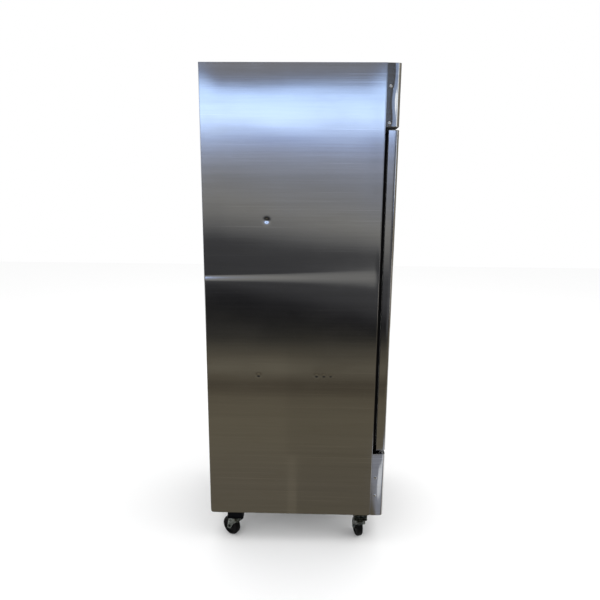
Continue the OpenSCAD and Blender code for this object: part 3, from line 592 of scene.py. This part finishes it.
def lathe(bm, profile, segs, matrix):
    """Surface turned about X from a closed list of (along X, radius)."""
    rings = []
    for a, r in profile:
        if r < 1e-6:
            rings.append([bm.verts.new(matrix @ Vector((a, 0, 0)))])
        else:
            rings.append([bm.verts.new(matrix @ Vector((a, r * math.cos(t), r * math.sin(t))))
                          for t in [2 * math.pi * k / segs for k in range(segs)]])
    n = len(rings)
    for i in range(n if profile[0][1] > 1e-6 else n - 1):
        p, q = rings[i], rings[(i + 1) % n]
        for k in range(segs):
            k2 = (k + 1) % segs
            if len(p) == 1 and len(q) == 1:
                continue
            if len(p) == 1:
                bm.faces.new([p[0], q[k], q[k2]])
            elif len(q) == 1:
                bm.faces.new([p[k], q[0], p[k2]])
            else:
                bm.faces.new([p[k], q[k], q[k2], p[k2]])


def plate(bm, outline, x0, x1, matrix, bevel=0.0006):
    """Flat plate from an outline in Y and Z, between two X values, with softened edges."""
    a = [bm.verts.new(matrix @ Vector((x0, y, z))) for y, z in outline]
    b = [bm.verts.new(matrix @ Vector((x1, y, z))) for y, z in outline]
    made = [bm.faces.new(a), bm.faces.new(b[::-1])]
    for k in range(len(a)):
        k2 = (k + 1) % len(a)
        made.append(bm.faces.new([a[k], b[k], b[k2], a[k2]]))
    rim = [e for f in made[:2] for e in f.edges]
    if bevel:
        bmesh.ops.recalc_face_normals(bm, faces=made)
        bmesh.ops.bevel(bm, geom=list(set(rim)), offset=bevel, segments=2, affect="EDGES", profile=0.6)


def arc(cy, cz, r, a0, a1, n):
    """Points on an arc in Y and Z, angles in degrees."""
    return [(cy + r * math.cos(math.radians(a0 + (a1 - a0) * k / n)),
             cz + r * math.sin(math.radians(a0 + (a1 - a0) * k / n))) for k in range(n + 1)]


# truss-head screws with a round socket
TRUSS = [(-0.006, 0.0), (-0.006, 0.0024), (0.0, 0.0024), (0.0, 0.0064), (0.0006, 0.0066), (0.0014, 0.0058),
         (0.0021, 0.0042), (0.0026, 0.0022), (0.0027, 0.0018), (0.0012, 0.0012), (0.0012, 0.0)]
HEAD_SCREW_IN, FOOT_SCREW_IN = 0.015, 0.017
bm = bmesh.new()
for side in (-1, 1):
    for z in SCREWS:
        y = Y_CAB - (HEAD_SCREW_IN if z > 1.0 else FOOT_SCREW_IN)
        at = Matrix.Translation((side * (HALF_W - 0.0005), y, z)) @ Matrix.Diagonal((side, 1, 1, 1))
        lathe(bm, TRUSS, 32, at)
finish_piece("truss_screws", bm, "panel_screws", "bright_steel", "cabinet")

CAST_Z = Z_LOW - 0.036      # underside of the spacers that the casters are bolted to

# spacers and top plates with their bolts and swivel heads, plated in front and painted at the rear
for name, slot, end, w in (("front_plates", "zinc_plate", "front", 0.030),
                           ("rear_plates", "black_steel", "rear", 0.036)):
    bm = bmesh.new()
    for j in frame["joints"]:
        if not j["child"].startswith("swivel_" + end):
            continue
        x, y = j["pos_m"][0], j["pos_m"][1]
        flat = Matrix.Translation((x, y, 0)) @ Matrix.Rotation(-math.pi / 2, 4, "Y")
        core = w if slot == "black_steel" else w - 0.006
        layers = [(core, CAST_Z, Z_LOW), (w + 0.0015, CAST_Z - 0.004, CAST_Z)]
        if slot == "zinc_plate":
            for k in range(3):
                z = CAST_Z + k * 0.0112
                layers.append((w + 0.0010, z + 0.006, z + 0.0095))
        for h, z0, z1 in layers:
            d = h - 0.004
            outline = arc(d, d, 0.004, 0, 90, 4) + arc(-d, d, 0.004, 90, 180, 4)
            outline += arc(-d, -d, 0.004, 180, 270, 4) + arc(d, -d, 0.004, 270, 360, 4)
            plate(bm, outline, z0, z1, flat, 0.0006)
        lathe(bm, [(CAST_Z - 0.0252, 0.0), (CAST_Z - 0.0252, 0.0040), (CAST_Z - 0.0245, 0.0048),
                   (CAST_Z - 0.014, 0.0048), (CAST_Z - 0.014, 0.020), (CAST_Z - 0.011, 0.0235),
                   (CAST_Z - 0.004, 0.024), (CAST_Z - 0.004, 0.0)], 40, flat)
        lathe(bm, [(CAST_Z - 0.0250, 0.0), (CAST_Z - 0.0250, 0.0074), (CAST_Z - 0.0244, 0.0080),
                   (CAST_Z - 0.0214, 0.0080), (CAST_Z - 0.0208, 0.0074), (CAST_Z - 0.0208, 0.0)], 6, flat)
        for sx in (-1, 1):
            for sy in (-1, 1):
                bolt = Matrix.Translation((x + sx * (w - 0.007), y + sy * (w - 0.007), 0))
                bolt = bolt @ Matrix.Rotation(-math.pi / 2, 4, "Y")
                head = [(-0.0080, 0.0), (-0.0080, 0.0058), (-0.0073, 0.0064),
                        (-0.0046, 0.0064), (-0.0040, 0.0060), (-0.0040, 0.0)]
                lathe(bm, [(CAST_Z + a, b) for a, b in head], 6, bolt)
    finish_piece(name, bm, "caster_plates", slot, "cabinet")

WHEEL_R, WHEEL_W, TRAIL = 0.045, 0.030, 0.030
HALF_GAP = WHEEL_W / 2


def heading(name):
    """Where a caster's swivel axis stands and which way its wheel trails, from the CAD joints."""
    swivel = [j for j in frame["joints"] if j["child"] == "swivel_" + name][0]["pos_m"]
    roll = [j for j in frame["joints"] if j["child"] == "wheel_" + name][0]["pos_m"]
    turn = math.atan2(-(roll[0] - swivel[0]), roll[1] - swivel[1])
    return Matrix.Translation((swivel[0], swivel[1], 0)) @ Matrix.Rotation(turn, 4, "Z")


def hexagon(bm, x0, x1, r, matrix):
    """Nut with softened corners."""
    profile = [(x0, 0.0), (x0, r * 0.94), (x0 + 0.0004, r), (x1 - 0.0004, r), (x1, r * 0.94), (x1, 0.0)]
    lathe(bm, profile, 6, matrix)


def caster(name, braked):
    """Wheel and fork of one caster; a braked one has the carrier of its brake on the cheeks."""
    m = heading(name)
    hub = m @ Matrix.Translation((0, TRAIL, WHEEL_R))
    w, r = WHEEL_W / 2 - 0.0006, WHEEL_R
    # wheel: rounded tyre, stepped hub
    bm = bmesh.new()
    half = [(w - 0.0070, 0.0052), (w, 0.0052), (w, 0.0115), (w - 0.0005, 0.0125), (w - 0.0045, 0.0140),
            (w - 0.0050, 0.0290), (w - 0.0012, 0.0310), (w - 0.0004, 0.0325), (w - 0.0004, 0.0370),
            (w - 0.0014, 0.0405), (w - 0.0034, 0.0432), (w - 0.0062, 0.0446), (w - 0.0090, r)]
    profile = half + [(-a, b) for a, b in reversed(half)]
    lathe(bm, profile, 64, hub)
    finish_piece("tyre_" + name, bm, "caster_wheel_" + name, "wheel_tread", "wheel_" + name)
    # fork: round top, two tapering cheeks, curled front lip, axle with its nut
    bm = bmesh.new()
    top = CAST_Z - 0.0143
    up = m @ Matrix.Rotation(-math.pi / 2, 4, "Y")
    lathe(bm, [(top - 0.003, 0.0051), (top - 0.003, 0.0235), (top - 0.0022, 0.025), (top - 0.0006, 0.025),
               (top, 0.0240), (top, 0.0051)], 48, up)
    cheek = [(-0.022, top - 0.003), (0.026, top - 0.003)]
    cheek += [(0.034, top - 0.018)] + arc(TRAIL, WHEEL_R, 0.0105, 25, -155, 10)
    cheek += [(0.006, WHEEL_R + 0.020), (-0.012, WHEEL_R + 0.036), (-0.022, top - 0.016)]
    if braked:
        cheek[1:3] = [(0.020, top - 0.003), (0.034, top + 0.0015), (0.043, top - 0.001), (0.043, top - 0.014),
                      (0.037, top - 0.022)]
    for s in (-1, 1):
        plate(bm, cheek, s * (HALF_GAP + 0.001), s * (HALF_GAP + 0.004), m)
    plate(bm, [(-0.020, top - 0.006), (0.022, top - 0.006), (0.022, top - 0.003), (-0.020, top - 0.003)],
          -HALF_GAP - 0.004, HALF_GAP + 0.004, m, 0.0005)
    plate(bm, [(-0.022, top - 0.004), (-0.0195, top - 0.004), (-0.0195, top - 0.015), (-0.0215, top - 0.018),
               (-0.0235, top - 0.018), (-0.0240, top - 0.016), (-0.0225, top - 0.014)],
          -HALF_GAP - 0.004, HALF_GAP + 0.004, m, 0.0004)
    lathe(bm, [(-0.0225, 0.0), (-0.0225, 0.005), (0.0225, 0.005), (0.0225, 0.0)], 24, hub)
    for s in (-1, 1):
        flip = hub @ Matrix.Diagonal((s, 1, 1, 1))
        lathe(bm, [(HALF_GAP + 0.004, 0.0), (HALF_GAP + 0.004, 0.0098), (HALF_GAP + 0.0052, 0.0098),
                   (HALF_GAP + 0.0052, 0.0)], 32, flip)
        hexagon(bm, HALF_GAP + 0.0052, HALF_GAP + 0.0096, 0.0078, flip)
    finish_piece("fork_" + name, bm, "caster_fork_" + name, "zinc_plate", "swivel_" + name)


for corner in ("front_left", "front_right", "rear_left", "rear_right"):
    caster(corner, corner.startswith("front"))


# ---------------------------------------------------------------- stage

def emitter(name, color, strength):
    m = bpy.data.materials.new(name)
    m.use_nodes = True
    t = m.node_tree
    t.nodes.clear()
    e = t.nodes.new("ShaderNodeEmission")
    e.inputs["Color"].default_value = (*color, 1.0)
    e.inputs["Strength"].default_value = strength
    out = t.nodes.new("ShaderNodeOutputMaterial")
    t.links.new(e.outputs[0], out.inputs[0])
    return m


def card(name, corners, material):
    """A studio card that is seen only in reflections."""
    me = bpy.data.meshes.new(name)
    me.from_pydata(corners, [], [(0, 1, 2, 3)])
    o = bpy.data.objects.new(name, me)
    scene.collection.objects.link(o)
    me.materials.append(material)
    o.visible_camera = False
    o.visible_diffuse = False
    o.visible_shadow = False
    o.visible_transmission = False
    return o


def wall_card(name, x, y0, y1, z0, z1, color, strength):
    corners = [(x, y0, z0), (x, y1, z0), (x, y1, z1), (x, y0, z1)]
    return card(name, corners, emitter(name, color, strength))


scene.view_settings.view_transform = "Standard"
scene.view_settings.look = "None"

world = bpy.data.worlds.new("studio")
scene.world = world
world.use_nodes = True
wt = world.node_tree
wt.nodes.clear()
path = wt.nodes.new("ShaderNodeLightPath")


def background(color, strength):
    n = wt.nodes.new("ShaderNodeBackground")
    n.inputs["Color"].default_value = (*color, 1)
    n.inputs["Strength"].default_value = strength
    return n.outputs[0]


def choose(ray, other, own):
    """World light that is own for one kind of ray and other for the rest."""
    n = wt.nodes.new("ShaderNodeMixShader")
    wt.links.new(path.outputs[ray], n.inputs[0])
    wt.links.new(other, n.inputs[1])
    wt.links.new(own, n.inputs[2])
    return n.outputs[0]


mirrored = background((0.80, 0.84, 0.90), 0.14)
white = background((1, 1, 1), 1.0)
sky = choose("Is Camera Ray", choose("Is Diffuse Ray", mirrored, white), white)
wt.links.new(sky, wt.nodes.new("ShaderNodeOutputWorld").inputs[0])

floor_bm = bmesh.new()
box_piece(floor_bm, (-9, -9, -0.02), (9, 9, 0.0))
bmesh.ops.recalc_face_normals(floor_bm, faces=floor_bm.faces)
floor_m = Shader("studio_floor", (0.95, 0.95, 0.95), 0.8)
floor_m.set("Specular IOR Level", 0.0)
floor = new_object("studio_floor", floor_bm, floor_m.m, False)


def area(name, place, target, size, energy, color=(1, 1, 1)):
    light = bpy.data.lights.new(name, "AREA")
    light.shape = "RECTANGLE"
    light.size, light.size_y = size
    light.energy = energy
    light.color = color
    o = bpy.data.objects.new(name, light)
    scene.collection.objects.link(o)
    o.location = place
    o.rotation_euler = (Vector(target) - Vector(place)).to_track_quat("-Z", "Y").to_euler()
    return o


area("top_soft", (0.0, 0.0, 5.2), (0, 0, 0), (4.5, 4.5), 70)
area("left_soft", (-4.6, 1.8, 3.4), (0, 0, 1.0), (2.4, 2.4), 30)
area("front_soft", (-1.2, -5.0, 2.6), (0, 0, 1.0), (3.0, 2.4), 40)


def glow_card(name, corners, axis, lo, hi, stops, tilt=0.0, tilt_top=(0, 0), strength=2.0):
    """Studio card whose light changes along one axis, through the given stops.

    Below the heights in tilt_top its bands lean along Y by tilt.
    """
    m = bpy.data.materials.new(name)
    m.use_nodes = True
    t = m.node_tree
    t.nodes.clear()
    coord = t.nodes.new("ShaderNodeTexCoord")
    parts = t.nodes.new("ShaderNodeSeparateXYZ")
    t.links.new(coord.outputs["Object"], parts.inputs[0])
    value = parts.outputs[axis]
    if tilt:
        keep = t.nodes.new("ShaderNodeMapRange")
        for socket, v in (("From Min", tilt_top[0]), ("From Max", tilt_top[1]),
                          ("To Min", tilt), ("To Max", 0.0)):
            keep.inputs[socket].default_value = v
        t.links.new(value, keep.inputs["Value"])
        lean = t.nodes.new("ShaderNodeMath")
        lean.operation = "MULTIPLY_ADD"
        t.links.new(parts.outputs[1], lean.inputs[0])
        t.links.new(keep.outputs[0], lean.inputs[1])
        t.links.new(value, lean.inputs[2])
        value = lean.outputs[0]
    span = t.nodes.new("ShaderNodeMapRange")
    span.inputs["From Min"].default_value = lo
    span.inputs["From Max"].default_value = hi
    t.links.new(value, span.inputs["Value"])
    ramp = t.nodes.new("ShaderNodeValToRGB")
    t.links.new(span.outputs[0], ramp.inputs[0])
    el = ramp.color_ramp.elements
    while len(el) > 1:
        el.remove(el[-1])
    for i, (at, color) in enumerate(stops):
        e = el[0] if i == 0 else el.new((at - lo) / (hi - lo))
        e.position = (at - lo) / (hi - lo)
        e.color = (*color, 1.0)
    emit = t.nodes.new("ShaderNodeEmission")
    emit.inputs["Strength"].default_value = strength
    t.links.new(ramp.outputs[0], emit.inputs["Color"])
    out = t.nodes.new("ShaderNodeOutputMaterial")
    t.links.new(emit.outputs[0], out.inputs[0])
    return card(name, corners, m)


# wall of the room behind the camera, bright windows high up, dark near the floor
ROOM = [
    (-0.10, (0.026, 0.025, 0.023)),
    (0.05, (0.009, 0.009, 0.009)),
    (0.30, (0.008, 0.008, 0.009)),
    (0.44, (0.036, 0.036, 0.038)),
    (0.80, (0.036, 0.036, 0.038)),
    (0.96, (0.090, 0.090, 0.090)),
    (1.30, (0.170, 0.167, 0.158)),
    (1.66, (0.175, 0.180, 0.196)),
    (1.98, (0.230, 0.252, 0.320)),
    (2.18, (0.300, 0.380, 0.620)),
    (2.27, (0.700, 0.900, 1.300)),
    (2.68, (0.600, 0.820, 1.250)),
    (2.74, (0.200, 0.270, 0.480)),
    (2.80, (0.130, 0.140, 0.180)),
    (3.00, (0.150, 0.150, 0.160)),
    (4.00, (0.160, 0.160, 0.170)),
]
BACK_X = -4.0
glow_card("room_wall",
          [(BACK_X, -1.02, -0.1), (BACK_X, 4.0, -0.1), (BACK_X, 4.0, 4.2), (BACK_X, -1.02, 4.2)],
          2, -0.1, 4.0, ROOM, tilt=-0.17, tilt_top=(1.6, 2.1))
# floor of the room beside the cabinet, by its distance in X
FLOOR = [
    (-4.0, (0.014, 0.014, 0.013)),
    (-3.6, (0.032, 0.030, 0.025)),
    (-3.15, (0.074, 0.065, 0.048)),
    (-2.75, (0.105, 0.094, 0.070)),
    (-2.5, (0.058, 0.049, 0.035)),
    (-2.28, (0.046, 0.038, 0.027)),
    (-2.08, (0.086, 0.074, 0.052)),
    (-1.50, (0.092, 0.080, 0.056)),
    (-0.80, (0.084, 0.073, 0.054)),
    (-0.36, (0.080, 0.070, 0.050)),
]
# two halves that meet along a joint in the floor, and a paler strip beside it
for name, far, near, x0, z, strength in (
        ("room_floor_front", (-4.2, 0.220), (-4.2, 0.046), -4.0, 0.004, 1.88),
        ("room_floor_rear", (0.220, 4.0), (0.046, 4.0), -4.0, 0.004, 2.06),
        ("room_floor_strip", (0.027, 0.080), (0.001, 0.045), -1.15, 0.005, 2.35)):
    glow_card(name, [(x0, far[0], z), (-0.36, near[0], z), (-0.36, near[1], z), (x0, far[1], z)],
              0, -4.0, -0.36, FLOOR, strength=strength)
wall_card("dark_end", BACK_X, -1.9, -1.02, -0.1, 4.2, (0.5, 0.5, 0.53), 0.24)
wall_card("blue_end", BACK_X, -3.2, -1.9, 1.3, 4.2, (0.50, 0.62, 0.90), 0.85)
wall_card("right_dark", 3.6, -2.2, 2.2, 0.9, 3.0, (0.5, 0.5, 0.53), 0.05)
wall_card("low_end", BACK_X, -3.2, -1.9, -0.1, 1.3, (0.5, 0.5, 0.5), 0.06)
wall_card("white_end", BACK_X, -4.2, -3.2, 1.5, 4.2, (0.92, 0.96, 1.0), 2.0)
# striped end of the room that the header and the lower panel mirror, and pale ground in front of them
BEIGE, SHADE = (0.62, 0.56, 0.46), (0.16, 0.14, 0.12)
glow_card("beige_end", [(-4.0, -4.2, 0.0), (1.4, -4.2, 0.0), (1.4, -4.2, 4.2), (-4.0, -4.2, 4.2)],
          0, -4.0, 1.4,
          [(-4.0, BEIGE), (-3.3, BEIGE), (-3.1, SHADE), (-2.9, SHADE), (-2.7, BEIGE), (-2.1, BEIGE),
           (-1.8, SHADE), (-1.4, SHADE), (-1.0, BEIGE), (-0.2, BEIGE), (0.8, SHADE),
           (1.4, (0.08, 0.08, 0.08))],
          strength=0.8)
card("pale_ground",
     [(-1.22, -1.3, 0.006), (-0.52, -1.3, 0.006), (-0.52, -0.405, 0.006), (-1.22, -0.465, 0.006)],
     emitter("pale_ground", (0.46, 0.48, 0.55), 0.75))
card("white_ground",
     [(-1.02, -1.3, 0.007), (-0.74, -1.3, 0.007), (-0.70, -0.50, 0.007), (-1.00, -0.56, 0.007)],
     emitter("white_ground", (0.62, 0.64, 0.68), 1.5))

# ---------------------------------------------------------------- camera

PICTURE = 600.0         # width of the picture, in the unit of the focal length
FOCAL = 530.0
SENSOR = 36.0
EYE = Vector((-2.5324, -0.0598, 1.6121))
PITCH, YAW, ROLL = math.radians(11.744), math.radians(1.37), math.radians(0.465)
ahead = Vector((math.cos(YAW), math.sin(YAW), 0))
right = Vector((math.sin(YAW), -math.cos(YAW), 0))
up = Vector((0, 0, 1))
look = ahead * math.cos(PITCH) - up * math.sin(PITCH)
rise = up * math.cos(PITCH) + ahead * math.sin(PITCH)
cam_x = right * math.cos(ROLL) + rise * math.sin(ROLL)
cam_y = rise * math.cos(ROLL) - right * math.sin(ROLL)
cam_data = bpy.data.cameras.new("camera")
cam_data.sensor_width = SENSOR
cam_data.lens = SENSOR * FOCAL / PICTURE
cam = bpy.data.objects.new("camera", cam_data)
scene.collection.objects.link(cam)
cam.matrix_world = Matrix((
    (cam_x.x, cam_y.x, -look.x, EYE.x),
    (cam_x.y, cam_y.y, -look.y, EYE.y),
    (cam_x.z, cam_y.z, -look.z, EYE.z),
    (0, 0, 0, 1),
))
scene.camera = cam
